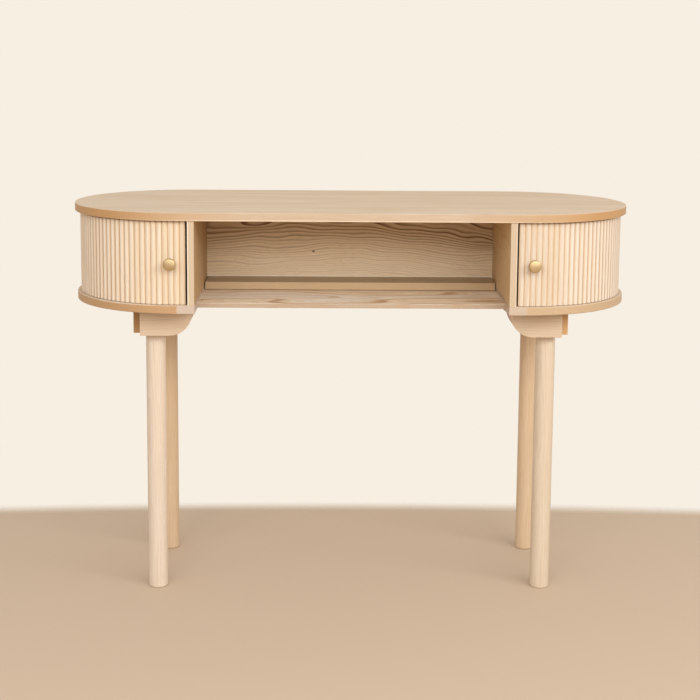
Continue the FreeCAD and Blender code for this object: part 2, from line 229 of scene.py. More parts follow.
# How noise and rings turn into marks, alike on every piece of ash
ashPattern = {
    "swing": 4,                 # wander of the rings over the whole noise, in wobbleMm
    "lateFull": 0.85,           # where in a year's growth the dark part is full
    "lateDrop": 0.86,           # where it starts to drop to the next year's pale wood
    "weakYear": 0.35,           # dark part of the weakest year against the strongest
    "thinRise": (0.2, 0.9),     # where a thin line starts and is full, in its own spacing
    "fibreNoise": (0.42, 0.72),
    "fibreDetail": 3.0,
    "driftNoise": (0.38, 0.66),
    "driftDetail": 2.0,
    "driftStretch": 9,          # length of a band in its own width
    "sheenNoise": (0.3, 0.7),
    "edgeTilt": (0.3, 0.8),     # upright part of the normal, from an edge to a face
    "edgeLines": 0.25,          # strength of the lines on an edge strip
    "markStrength": 0.9,        # of a painted shade line, a painted highlight line and a knot at their middle
    "knotFade": (0.5, 1.2),     # where a knot starts to fade and is gone, in its half sizes
    "endFacing": (0.75, 0.95),  # part of the normal along the fibres where end grain starts and is full
    "endStrength": 0.75,
    "reliefMm": 0.4,            # depth of the marks
}
grainTurn = {"X": (0, 0, 0), "Y": (0, 0, -math.pi / 2), "Z": (0, math.pi / 2, 0)}
grainWay = {"X": (1, 0, 0), "Y": (0, 1, 0), "Z": (0, 0, 1)}


def treePlace(tree, look):
    # places on the piece in mm, and the same as seen from the heart of the tree that it was cut from
    coordinate = addNode(tree, "ShaderNodeTexCoord")
    inMm = addNode(tree, "ShaderNodeVectorMath", {0: coordinate.outputs["Object"], "Scale": 1 / mm},
                   operation="SCALE")
    spot = addNode(tree, "ShaderNodeSeparateXYZ", {0: inMm.outputs[0]})
    turned = addNode(tree, "ShaderNodeMapping", {
        "Vector": inMm.outputs[0], "Rotation": grainTurn[look["grain"]]})
    across, depth = look["heart"]
    leanA, leanB = [math.radians(lean) for lean in look["lean"]]
    fromHeart = addNode(tree, "ShaderNodeMapping", {
        "Vector": turned.outputs[0], "Location": (0.0, -across, -depth)})
    inTree = addNode(tree, "ShaderNodeMapping", {
        "Vector": fromHeart.outputs[0], "Rotation": (0.0, leanA, leanB)})
    if look["bow"]:
        top, drop = look["bow"]
        fromTop = addNode(tree, "ShaderNodeMath", {0: spot.outputs["X"], 1: top}, operation="SUBTRACT")
        along = addNode(tree, "ShaderNodeMath", {0: fromTop.outputs[0], 1: look["bowReachMm"]},
                        operation="DIVIDE")
        bend = addNode(tree, "ShaderNodeMath", {0: along.outputs[0], 1: along.outputs[0]},
                       operation="MULTIPLY")
        sunk = addNode(tree, "ShaderNodeCombineXYZ", {"Z": bend.outputs[0]})
        inTree = addNode(tree, "ShaderNodeVectorMath", {
            0: sunk.outputs[0], 1: (0.0, 0.0, drop), 2: inTree.outputs[0]}, operation="MULTIPLY_ADD")
    return coordinate.outputs["Normal"], inMm.outputs[0], spot.outputs, inTree.outputs[0]


def growthRings(tree, look, inTree):
    # rings round the heart, drawn out along the fibres and gently wavy
    long, wide = 1 / look["wobbleLengthMm"], look["wobbleAcross"] / look["wobbleLengthMm"]
    waveAt = addNode(tree, "ShaderNodeVectorMath", {0: inTree, 1: (long, wide, wide)}, operation="MULTIPLY")
    wave = addNode(tree, "ShaderNodeTexNoise", {
        "Vector": waveAt.outputs[0], "Scale": 1.0, "Detail": look["wobbleDetail"]})
    centred = addNode(tree, "ShaderNodeVectorMath", {0: wave.outputs["Color"], 1: (0.5, 0.5, 0.5)},
                      operation="SUBTRACT")
    swing = ashPattern["swing"] * look["wobbleMm"]
    wavy = addNode(tree, "ShaderNodeVectorMath", {
        0: centred.outputs[0], 1: (0.0, swing, swing), 2: inTree}, operation="MULTIPLY_ADD")
    flat = addNode(tree, "ShaderNodeVectorMath", {0: wavy.outputs[0], 1: (0.0, 1.0, 1.0)},
                   operation="MULTIPLY")
    radius = addNode(tree, "ShaderNodeVectorMath", {0: flat.outputs[0]}, operation="LENGTH")
    rings = addNode(tree, "ShaderNodeMath", {0: radius.outputs["Value"], 1: look["ringMm"]},
                    operation="DIVIDE")
    year = addNode(tree, "ShaderNodeMath", {0: rings.outputs[0]}, operation="FLOOR")
    season = addNode(tree, "ShaderNodeMath", {0: rings.outputs[0]}, operation="FRACT")
    rise = addNode(tree, "ShaderNodeMapRange", {
        "Value": season.outputs[0], "From Min": look["lateFrom"], "From Max": ashPattern["lateFull"]},
        interpolation_type="SMOOTHSTEP")
    fall = addNode(tree, "ShaderNodeMapRange", {
        "Value": season.outputs[0], "From Min": ashPattern["lateDrop"], "From Max": 1.0,
        "To Min": 1.0, "To Max": 0.0}, interpolation_type="SMOOTHSTEP")
    line = addNode(tree, "ShaderNodeMath", {0: rise.outputs[0], 1: fall.outputs[0]}, operation="MULTIPLY")
    yearTone = addNode(tree, "ShaderNodeTexWhiteNoise", {"W": year.outputs[0]}, noise_dimensions="1D")
    yearWeight = addNode(tree, "ShaderNodeMapRange", {
        "Value": yearTone.outputs["Value"], "To Min": ashPattern["weakYear"] * look["latewood"],
        "To Max": look["latewood"]})
    late = addNode(tree, "ShaderNodeMath", {0: line.outputs[0], 1: yearWeight.outputs[0]},
                   operation="MULTIPLY")
    if look["thinLines"]:
        count, strength = look["thinLines"]
        start, full = ashPattern["thinRise"]
        spells = addNode(tree, "ShaderNodeMath", {0: rings.outputs[0], 1: count}, operation="MULTIPLY")
        spell = addNode(tree, "ShaderNodeMath", {0: spells.outputs[0]}, operation="FRACT")
        thinLine = addNode(tree, "ShaderNodeMapRange", {
            "Value": spell.outputs[0], "From Min": start, "From Max": full, "To Max": strength},
            interpolation_type="SMOOTHSTEP")
        late = addNode(tree, "ShaderNodeMath", {0: late.outputs[0], 1: thinLine.outputs[0]},
                       operation="MAXIMUM")
    return wavy.outputs[0], radius.outputs["Value"], late.outputs[0]


def heartwood(tree, look, radius, ground, late):
    # the wood round the heart has a colour of its own and full lines
    inside, outside = look["heartwood"]
    inHeart = addNode(tree, "ShaderNodeMapRange", {
        "Value": radius, "From Min": inside, "From Max": outside, "To Min": 1.0, "To Max": 0.0},
        interpolation_type="SMOOTHSTEP")
    boldness = addNode(tree, "ShaderNodeMapRange", {"Value": inHeart.outputs[0], "To Min": look["quiet"]})
    bold = addNode(tree, "ShaderNodeMath", {0: late, 1: boldness.outputs[0]}, operation="MULTIPLY")
    toned = addNode(tree, "ShaderNodeMix", {
        0: inHeart.outputs[0], 6: ground, 7: linear(look["heartTone"])}, data_type="RGBA")
    return toned.outputs[2], bold.outputs[0]


def edgeStrip(tree, look, normal, spot, ground, late):
    # upright edges of a board: one colour where they run straight, another round the bend, calmer lines
    straight, bent, change = look["edgeBand"]
    upright = addNode(tree, "ShaderNodeSeparateXYZ", {0: normal})
    tilt = addNode(tree, "ShaderNodeMath", {0: upright.outputs["Z"]}, operation="ABSOLUTE")
    edge, face = ashPattern["edgeTilt"]
    onEdge = addNode(tree, "ShaderNodeMapRange", {
        "Value": tilt.outputs[0], "From Min": edge, "From Max": face, "To Min": 1.0, "To Max": 0.0})
    fromMiddle = addNode(tree, "ShaderNodeMath", {0: spot["X"]}, operation="ABSOLUTE")
    pastBend = addNode(tree, "ShaderNodeMapRange", {
        "Value": fromMiddle.outputs[0], "From Min": arcX / mm - change / 2,
        "From Max": arcX / mm + change / 2})
    strip = addNode(tree, "ShaderNodeMix", {
        0: pastBend.outputs[0], 6: linear(straight), 7: linear(bent)}, data_type="RGBA")
    # a painted highlight along the arris of the straight strip
    if look["arris"]:
        height, reach, tone = look["arris"]
        lift = addNode(tree, "ShaderNodeMath", {0: spot["Z"], 1: height}, operation="SUBTRACT")
        apart = addNode(tree, "ShaderNodeMath", {0: lift.outputs[0]}, operation="ABSOLUTE")
        arrisHighlight = addNode(tree, "ShaderNodeMapRange", {
            "Value": apart.outputs[0], "From Max": reach, "To Min": ashPattern["markStrength"],
            "To Max": 0.0})
        beforeBend = addNode(tree, "ShaderNodeMath", {0: 1.0, 1: pastBend.outputs[0]}, operation="SUBTRACT")
        highlightShare = addNode(tree, "ShaderNodeMath", {0: arrisHighlight.outputs[0], 1: beforeBend.outputs[0]},
                       operation="MULTIPLY")
        strip = addNode(tree, "ShaderNodeMix", {
            0: highlightShare.outputs[0], 6: strip.outputs[2], 7: linear(tone)}, data_type="RGBA")
    banded = addNode(tree, "ShaderNodeMix", {
        0: onEdge.outputs[0], 6: ground, 7: strip.outputs[2]}, data_type="RGBA")
    calm = addNode(tree, "ShaderNodeMapRange", {
        "Value": onEdge.outputs[0], "To Min": 1.0, "To Max": ashPattern["edgeLines"]})
    calmed = addNode(tree, "ShaderNodeMath", {0: late, 1: calm.outputs[0]}, operation="MULTIPLY")
    return banded.outputs[2], calmed.outputs[0]


def pinKnot(tree, look, inMm, colour):
    middle, (halfWidth, halfHeight), tone = look["knot"]
    fromKnot = addNode(tree, "ShaderNodeVectorMath", {0: inMm, 1: middle}, operation="SUBTRACT")
    inKnot = addNode(tree, "ShaderNodeVectorMath", {
        0: fromKnot.outputs[0], 1: (1 / halfWidth, 0.0, 1 / halfHeight)}, operation="MULTIPLY")
    reach = addNode(tree, "ShaderNodeVectorMath", {0: inKnot.outputs[0]}, operation="LENGTH")
    fading, gone = ashPattern["knotFade"]
    amount = addNode(tree, "ShaderNodeMapRange", {
        "Value": reach.outputs["Value"], "From Min": fading, "From Max": gone,
        "To Min": ashPattern["markStrength"], "To Max": 0.0})
    knotted = addNode(tree, "ShaderNodeMix", {0: amount.outputs[0], 6: colour, 7: linear(tone)},
                      data_type="RGBA")
    return knotted.outputs[2]


def slatColour(tree, look, colour):
    # each slat's own tint, and then the painted shade, painted highlight and painted warm light that it has
    # by its place in the row
    tint = addNode(tree, "ShaderNodeAttribute", attribute_name="slatTint")
    tintAmount = addNode(tree, "ShaderNodeMapRange", {
        "Value": tint.outputs["Fac"], "To Max": look["slatTint"]})
    mixed = addNode(tree, "ShaderNodeMix", {
        0: tintAmount.outputs[0], 6: colour, 7: linear(look["warm"])}, data_type="RGBA")
    shade = addNode(tree, "ShaderNodeAttribute", attribute_name="slatShade")
    shares = addNode(tree, "ShaderNodeSeparateXYZ", {0: shade.outputs["Vector"]})
    for share, tone in zip(shares.outputs, look["slatShade"]):
        mixed = addNode(tree, "ShaderNodeMix", {0: share, 6: mixed.outputs[2], 7: linear(tone)},
                        data_type="RGBA")
    return mixed.outputs[2]


def endGrain(tree, look, normal, colour):
    facing = addNode(tree, "ShaderNodeVectorMath", {0: normal, 1: grainWay[look["grain"]]},
                     operation="DOT_PRODUCT")
    square = addNode(tree, "ShaderNodeMath", {0: facing.outputs["Value"]}, operation="ABSOLUTE")
    start, full = ashPattern["endFacing"]
    amount = addNode(tree, "ShaderNodeMapRange", {
        "Value": square.outputs[0], "From Min": start, "From Max": full,
        "To Max": ashPattern["endStrength"]}, interpolation_type="SMOOTHSTEP")
    ended = addNode(tree, "ShaderNodeMix", {
        0: amount.outputs[0], 6: colour, 7: linear(look["endGrain"])}, data_type="RGBA")
    return ended.outputs[2]


# painted line along a joint or an edge: painted shade where its tone is dark, a painted highlight where it
# is pale
def paintedLightLine(tree, look, spot, colour):
    axis, place, reach = look["joint"]
    fromLine = addNode(tree, "ShaderNodeMath", {0: spot[axis], 1: place}, operation="SUBTRACT")
    apart = addNode(tree, "ShaderNodeMath", {0: fromLine.outputs[0]}, operation="ABSOLUTE")
    amount = addNode(tree, "ShaderNodeMapRange", {
        "Value": apart.outputs[0], "From Max": reach, "To Min": ashPattern["markStrength"], "To Max": 0.0})
    lined = addNode(tree, "ShaderNodeMix", {
        0: amount.outputs[0], 6: colour, 7: linear(look["jointTone"])}, data_type="RGBA")
    return lined.outputs[2]


def oiledAsh(name, **changes):
    look = {**ashLook, **changes}
    material, tree, shader = startMaterial(name)
    normal, inMm, spot, inTree = treePlace(tree, look)
    wavy, radius, late = growthRings(tree, look, inTree)

    # short fibres and pores, broad drift of tone
    thin = 1 / look["fibreMm"]
    fibreAt = addNode(tree, "ShaderNodeVectorMath", {
        0: wavy, 1: (1 / look["fibreLengthMm"], thin, thin)}, operation="MULTIPLY")
    fibre = addNode(tree, "ShaderNodeTexNoise", {
        "Vector": fibreAt.outputs[0], "Scale": 1.0, "Detail": ashPattern["fibreDetail"]})
    low, high = ashPattern["fibreNoise"]
    fibreAmount = addNode(tree, "ShaderNodeMapRange", {
        "Value": fibre.outputs["Fac"], "From Min": low, "From Max": high, "To Max": look["fibres"]})
    broad = 1 / look["driftMm"]
    driftAt = addNode(tree, "ShaderNodeVectorMath", {
        0: wavy, 1: (broad / ashPattern["driftStretch"], broad, broad)}, operation="MULTIPLY")
    drift = addNode(tree, "ShaderNodeTexNoise", {
        "Vector": driftAt.outputs[0], "Scale": 1.0, "Detail": ashPattern["driftDetail"]})
    low, high = ashPattern["driftNoise"]
    driftAmount = addNode(tree, "ShaderNodeMapRange", {
        "Value": drift.outputs["Fac"], "From Min": low, "From Max": high, "To Max": look["drift"]})

    # colour, from the ground up
    drifted = addNode(tree, "ShaderNodeMix", {
        0: driftAmount.outputs[0], 6: linear(look["pale"]), 7: linear(look["warm"])}, data_type="RGBA")
    ground = drifted.outputs[2]
    if look["heartwood"]:
        ground, late = heartwood(tree, look, radius, ground, late)
    if look["edgeBand"]:
        ground, late = edgeStrip(tree, look, normal, spot, ground, late)
    ringed = addNode(tree, "ShaderNodeMix", {0: late, 6: ground, 7: linear(look["late"])}, data_type="RGBA")
    streaked = addNode(tree, "ShaderNodeMix", {
        0: fibreAmount.outputs[0], 6: ringed.outputs[2], 7: linear(look["late"])}, data_type="RGBA")
    colour = streaked.outputs[2]
    if look["knot"]:
        colour = pinKnot(tree, look, inMm, colour)
    if look["slatTint"]:
        colour = slatColour(tree, look, colour)
    if look["endGrain"]:
        colour = endGrain(tree, look, normal, colour)
    if look["joint"]:
        colour = paintedLightLine(tree, look, spot, colour)

    # satin oil: duller along the fibres, lines and fibres a little sunk
    smooth, dull = look["roughness"]
    low, high = ashPattern["sheenNoise"]
    gloss = addNode(tree, "ShaderNodeMapRange", {
        "Value": fibre.outputs["Fac"], "From Min": low, "From Max": high, "To Min": smooth, "To Max": dull})
    relief = addNode(tree, "ShaderNodeMath", {0: late, 1: fibreAmount.outputs[0]}, operation="ADD")
    bump = addNode(tree, "ShaderNodeBump", {
        "Height": relief.outputs[0], "Strength": look["bump"], "Distance": ashPattern["reliefMm"] * mm},
        invert=True)
    tree.links.new(colour, shader.inputs["Base Color"])
    tree.links.new(gloss.outputs[0], shader.inputs["Roughness"])
    tree.links.new(bump.outputs[0], shader.inputs["Normal"])
    shader.inputs["Specular IOR Level"].default_value = look["specular"]
    return material


# Boards that keep their CAD shape and take an ash of their own cut
def dress(node, material):
    for slot in nodes[node].material_slots:
        slot.material = material


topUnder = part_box("desk_top")[0].z / mm
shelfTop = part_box("bay_shelf")[1].z / mm
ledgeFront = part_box("rear_ledge")[0].y / mm
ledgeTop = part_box("rear_ledge")[1].z / mm
# the pale arris line on the desk top's straight front is a painted highlight
dress("desk_top", oiledAsh(
    "oiledAshDeskTop", heart=(620.0, 560.0), lean=(0.0, 0.4), ringMm=3.4, latewood=0.42, fibres=0.3,
    drift=0.65, driftMm=30.0, pale="#DFCCB6", warm="#D3B795", edgeBand=("#CDB69D", "#C59A69", 260.0),
    arris=(topUnder + 1.2, 2.4, "#F4E4C9"), endGrain=None))
# the back panel's darker heartwood colour at its top is partly its grain and partly painted shade under the
# desk top; its pale line where it stands on the ledge is a painted highlight
dress("back_panel", oiledAsh(
    "oiledAshBackPanel", heart=(118.0, 728.0), lean=(0.4, 2.4), bow=(-20.0, 22.0), ringMm=5.2,
    latewood=0.95, quiet=0.28, wobbleMm=14.0, fibres=0.16, fibreMm=1.7, fibreLengthMm=160.0,
    pale="#FFEDCD", warm="#FBDCA9", late="#744A24", heartwood=(30.0, 92.0), heartTone="#DEC49F",
    joint=("Z", ledgeTop + 1.0, 2.2), jointTone="#FFF4DE",
    knot=((-76.0, 0.0, 646.0), (3.2, 2.1), "#50341F")))
# the dark line on the shelf in front of the ledge's foot is painted shade
dress("bay_shelf", oiledAsh(
    "oiledAshShelf", heart=(-66.0, 543.0), lean=(0.5, 1.0), ringMm=21.0, latewood=0.85, lateFrom=0.45,
    quiet=0.95, thinLines=(4.0, 0.2), wobbleMm=38.0, wobbleLengthMm=330.0, wobbleDetail=0.7,
    wobbleAcross=4.9, pale="#FFF3DE", warm="#FCE7C2", late="#B8864C", heartwood=(40.0, 58.0),
    heartTone="#FFFAEE", edgeBand=("#BEAB96", "#BEAB96", 3.0), joint=("Y", ledgeFront, 4.0)))
# the ledge's darker colour on its top is painted shade under the desk top, against the paler strip on its
# upright faces; the dark line at its foot is painted shade
dress("rear_ledge", oiledAsh(
    "oiledAshLedge", heart=(300.0, 480.0), ringMm=2.6, latewood=0.4, pale="#B9A78D", warm="#A99175",
    edgeBand=("#CAAF8B", "#CAAF8B", 3.0), joint=("Z", shelfTop, 1.8)))
# Left and right ends take separate copies of each ash, toned apart as painted light and shade for the
# uneven light on them
endTones = {
    "left": {
        "boardEdge": ("#CEBCAC", "#C49D74", 3.0), "railEnd": "#AB7830",
        "block": {"pale": "#DECAB3", "warm": "#D2B592"},
        "panel": {"pale": "#C0A177", "warm": "#B38E60", "endGrain": "#D6C3AA", "jointTone": "#FFF6E6"},
    },
    "right": {
        "boardEdge": ("#CBB8A4", "#C9AD8C", 3.0), "railEnd": "#DBAA68",
        "block": {"pale": "#DBC8B1", "warm": "#CFB390"},
        "panel": {"pale": "#E2C599", "warm": "#D5AF7F", "endGrain": "#C8B5A0", "jointTone": "#E9D6BC"},
    },
}
for side, sign in sides.items():
    tones = endTones[side]
    dress(side + "_bottom_board", oiledAsh(
        side + "OiledAshBottomBoard", heart=(480.0, 500.0), ringMm=3.4, latewood=0.3,
        edgeBand=tones["boardEdge"], endGrain=None))
    # the pale line near each inner panel's outer face is a painted highlight along its edge
    dress(side + "_inner_panel", oiledAsh(
        side + "OiledAshInnerPanel", grain="Y", heart=(-sign * 340.0, 690.0), lean=(1.0, 1.0),
        latewood=0.45, joint=("X", sign * (panelHigh.x / mm - 0.6), 2.2), **tones["panel"]))
    dress(side + "_rear_wall", oiledAsh(
        side + "OiledAshRearWall", grain="Z", heart=(60.0, 90.0), ringMm=5.0, latewood=0.3))
    dress(side + "_side_rail", oiledAsh(
        side + "OiledAshSideRail", grain="Y", heart=(-sign * 470.0, 560.0), latewood=0.4,
        endGrain=tones["railEnd"]))
    for end in ends:
        dress(f"{side}_{end}_leg_block", oiledAsh(
            f"{side}{end.title()}OiledAshBlock", heart=(-260.0, 700.0), ringMm=2.8, latewood=0.4,
            **tones["block"]))
print("boards dressed")

# Tambour slats: rounded staves with a tongue at each end, side by side round the end of the desk
slats = {
    "crownRadius": 210.0 * mm,
    "thickness": 8.0 * mm,
    "width": 10.6 * mm,
    "gap": 0.5 * mm,
    "crown": 2.6 * mm,
    "topGap": 3.0 * mm,
    "bottomGap": 1.0 * mm,
    "leadGap": 4.0 * mm,
    "pastSideDegrees": 5.0,
    "tongueWidth": 8.0 * mm,
    "tongueThickness": 4.0 * mm,
    "tongueBackMargin": 1.4 * mm,
    "tongueBite": 1.0 * mm,     # how far a tongue reaches into its stave
    "crownSteps": 12,
    "creaseDegrees": 35,
    "grooveGain": 1.7,          # how fast the painted shade in the grooves grows towards the ends of the desk
    "paintedGrooveShade": {"left": 0.95, "right": 0.8},    # how dark the painted shade gets
    "paintedGrooveLight": 0.55,         # strength of the painted warm light in the grooves at the front
    "paintedCrownHighlight": {"left": 0.6, "right": 0.5},      # strength of the painted highlight on the crowns of the bend
    "seed": 7,
}
shoulderRadius = slats["crownRadius"] - slats["crown"]
slatBack = slats["crownRadius"] - slats["thickness"]
slatPitch = 2 * math.asin((slats["width"] + slats["gap"]) / 2 / shoulderRadius)
halfPitch = 0.5         # from a slat's first edge to its middle, in pitches
leadAngle = -math.asin((arcX - panelHigh.x - slats["leadGap"]) / shoulderRadius)
slatCount = math.ceil((math.radians(90 + slats["pastSideDegrees"]) - leadAngle) / slatPitch)
slatLow, slatHigh = panelLow.z + slats["bottomGap"], panelHigh.z - slats["topGap"]
tongueLow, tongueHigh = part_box("right_tambour_slats")[0].z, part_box("right_tambour_slats")[1].z


def slatBlank():
    # one stave in front of the arc's middle, with its tongues
    half = slats["width"] / 2
    bow = (half ** 2 + slats["crown"] ** 2) / (2 * slats["crown"])     # radius of the rounded front
    spread = math.degrees(math.asin(half / bow))
    front = arcPoints((0.0, bow - slats["crownRadius"]), bow, -90 - spread, -90 + spread,
                      slats["crownSteps"])
    stave = meshFrom(prism(front + [(half, -slatBack), (-half, -slatBack)], slatLow, slatHigh), "slatBlank")
    wide = slats["tongueWidth"] / 2
    inner = slatBack + slats["tongueBackMargin"]
    outer = inner + slats["tongueThickness"]
    foot = [(-wide, -outer), (wide, -outer), (wide, -inner), (-wide, -inner)]
    bite = slats["tongueBite"]
    tongues = [meshFrom(prism(foot, low, high), "tongue")
               for low, high in ((tongueLow, slatLow + bite), (slatHigh - bite, tongueHigh))]
    blank = combined(stave, tongues, "UNION")
    shadeByAngle(blank, slats["creaseDegrees"])
    return blank


def slatRowTree():
    tree = bpy.data.node_groups.new("slatRow", "GeometryNodeTree")
    sockets = {}
    for name, kind in (("Slat", "Object"), ("Count", "Int"), ("Pitch", "Float"), ("Lead", "Float"),
                       ("Centre", "Vector"), ("Way", "Float"), ("Seed", "Int"), ("Finish", "Material")):
        socket = tree.interface.new_socket(name, in_out="INPUT", socket_type="NodeSocket" + kind)
        sockets[name] = socket.identifier
    tree.interface.new_socket("Geometry", in_out="OUTPUT", socket_type="NodeSocketGeometry")
    given = addNode(tree, "NodeGroupInput").outputs
    still = (0.0, 0.0, 0.0)
    spots = addNode(tree, "GeometryNodeMeshLine", {
        "Count": given["Count"], "Start Location": given["Centre"], "Offset": still})
    number = addNode(tree, "GeometryNodeInputIndex")
    turns = addNode(tree, "ShaderNodeMath", {0: number.outputs[0], 1: halfPitch}, operation="ADD")
    angle = addNode(tree, "ShaderNodeMath", {
        0: turns.outputs[0], 1: given["Pitch"], 2: given["Lead"]}, operation="MULTIPLY_ADD")
    signed = addNode(tree, "ShaderNodeMath", {0: angle.outputs[0], 1: given["Way"]}, operation="MULTIPLY")
    spin = addNode(tree, "ShaderNodeCombineXYZ", {"Z": signed.outputs[0]})
    rotation = addNode(tree, "FunctionNodeEulerToRotation", {0: spin.outputs[0]})
    blank = addNode(tree, "GeometryNodeObjectInfo", {"Object": given["Slat"]})
    row = addNode(tree, "GeometryNodeInstanceOnPoints", {
        "Points": spots.outputs[0], "Instance": blank.outputs["Geometry"], "Rotation": rotation.outputs[0]})
    chance = addNode(tree, "FunctionNodeRandomValue", {"ID": number.outputs[0], "Seed": given["Seed"]},
                     data_type="FLOAT")
    tinted = addNode(tree, "GeometryNodeStoreNamedAttribute", {
        "Geometry": row.outputs[0], "Name": "slatTint", "Value": chance.outputs[1]},
        data_type="FLOAT", domain="INSTANCE")
    real = addNode(tree, "GeometryNodeRealizeInstances", {"Geometry": tinted.outputs[0]})
    finished = addNode(tree, "GeometryNodeSetMaterial", {
        "Geometry": real.outputs[0], "Material": given["Finish"]})
    addNode(tree, "NodeGroupOutput", {"Geometry": finished.outputs[0]})
    return tree, sockets


def shadeSlats(row, side):
    # three shares on each point, all painted light: painted shade in the grooves towards the end of the
    # desk, a painted highlight on the crowns of the bend, painted warm light in the grooves at the front
    shares = row.attributes.new("slatShade", "FLOAT_VECTOR", "POINT")
    for point, share in zip(row.vertices, shares.data):
        outward = Vector((sides[side] * point.co.x - arcX, point.co.y))
        depth = min(1.0, max(0.0, (slats["crownRadius"] - outward.length) / slats["crown"]))
        atEnd = (outward.x / outward.length) ** 2
        atFront = 1 - atEnd
        onBend = 4 * atEnd * atFront            # 1 half way round, 0 at the front and at the end
        dark = depth * min(1.0, slats["grooveGain"] * atEnd) * slats["paintedGrooveShade"][side]
        pale = (1 - depth) ** 2 * onBend * slats["paintedCrownHighlight"][side]
        warm = depth * atFront ** 2 * slats["paintedGrooveLight"]
        share.vector = (dark, pale, warm)


# left and right slats toned apart as painted light and shade for the uneven light on the two ends
slatTones = {
    "left": {"pale": "#ECDFCB", "warm": "#DEC19B"},
    "right": {"pale": "#E2D8CA", "warm": "#D5BD9E"},
}
# the three slatShade tones are painted shade in the grooves, a painted highlight on the crowns and painted
# warm light in the front grooves
ashSlats = {side: oiledAsh(
    side + "OiledAshSlats", grain="Z", heart=(40.0, 60.0), ringMm=6.0, latewood=0.2, fibres=0.2,
    drift=0.25, driftMm=9.0, slatTint=0.5, slatShade=("#A87A4A", "#FFF5E8", "#F5D3A8"),
    roughness=(0.3, 0.42), specular=0.5, **slatTones[side]) for side in sides}
blankSlat = addObject("slatBlank", slatBlank())
slatTree, slatSockets = slatRowTree()
slatMeshes = {}
for side, sign in sides.items():
    row = addObject("slatRow", bpy.data.meshes.new("slatRow"))
    step = row.modifiers.new("slatRow", "NODES")
    step.node_group = slatTree
    chosen = {"Slat": blankSlat, "Count": slatCount, "Pitch": slatPitch, "Lead": leadAngle,
              "Centre": (sign * arcX, 0.0, 0.0), "Way": float(sign), "Seed": slats["seed"] + sign,
              "Finish": ashSlats[side]}
    for name, value in chosen.items():
        step[slatSockets[name]] = value
    slatMeshes[side] = bakedMesh(row, side + "SlatRow")
    bpy.data.objects.remove(row)
bpy.data.objects.remove(blankSlat)
print("slats made:", slatCount, "at each end")

# Knobs: turned brass on a small foot, with a well rounded head
knobs = {
    "slatNumber": 3,
    "headRadius": 12.0 * mm,
    "neckRadius": 4.5 * mm,
    "footRadius": 6.5 * mm,
    "projection": 20.0 * mm,
    "headLength": 9.0 * mm,
    "domeRadius": 40.0 * mm,
    "footLength": 1.5 * mm,
    "rimRound": 3.0 * mm,
    "boreRadius": 2.05 * mm,
    "boreDepth": 12.0 * mm,
    "seatClearance": 0.1 * mm,
    "footEase": 0.4 * mm,
    "neckStep": 0.2 * mm,
    "lipDegrees": 60,           # how far the rim turns under the head
    "drillReach": 100.0 * mm,   # of the drill through the slat, to each side
    "steps": 72,
    "drillSteps": 24,
    "rimSteps": 5,
    "domeSteps": 10,
    "creaseDegrees": 40,
}
knobAngle = leadAngle + (knobs["slatNumber"] - halfPitch) * slatPitch
knobHeight = (slatLow + slatHigh) / 2


def knobPlace(sign, radius):
    # from the lathe's +Z axis to the knob's own axis, square to the slat it sits on
    turn = Matrix.Rotation(sign * knobAngle, 4, "Z")
    lay = Matrix.Translation((0.0, -radius, knobHeight)) @ Matrix.Rotation(math.pi / 2, 4, "X")
    return Matrix.Translation((sign * arcX, 0.0, 0.0)) @ turn @ lay


def knobProfile():
    foot, neck, head = knobs["footRadius"], knobs["neckRadius"], knobs["headRadius"]
    base, tip = -slats["crown"], knobs["projection"]
    under = tip - knobs["headLength"]
    soft = knobs["rimRound"]
    flare = (knobs["footLength"] + under) / 2
    inside = head - soft
    bulge = knobs["domeRadius"]
    spread = math.asin(inside / (bulge - soft))              # where the rim runs into the dome
    shoulder = tip - bulge + (bulge - soft) * math.cos(spread)
    meeting = 90 - math.degrees(spread)
    dome = arcPoints((0.0, tip - bulge), bulge, meeting, 90, knobs["domeSteps"])
    shaft, deep = knobs["boreRadius"], knobs["boreDepth"]
    bore = [(0.0, deep), (shaft, deep), (shaft, base)]
    footTop, ease = knobs["footLength"], knobs["footEase"]
    stem = [(foot, base), (foot, footTop - ease), (foot - ease, footTop),
            (neck, footTop + knobs["neckStep"]), (neck, flare)]
    lip = arcPoints((inside, under + soft), soft, -knobs["lipDegrees"], 0, knobs["rimSteps"])
    lip += arcPoints((inside, shoulder), soft, 0, meeting, knobs["rimSteps"])
    return bore + stem + lip + dome[1:-1] + [(0.0, tip)]


# Satin brass: lathe-turned and lightly brushed, warm yellow with a broad soft highlight
brassLook = {
    "pale": "#DCC59C",
    "deep": "#C6A97B",
    "cloudMm": 6.0,
    "markMm": 0.35,             # between tool marks, drawn coarse enough to show
    "reliefMm": 0.1,
    "bump": 0.1,
    "roughness": (0.44, 0.58),
}


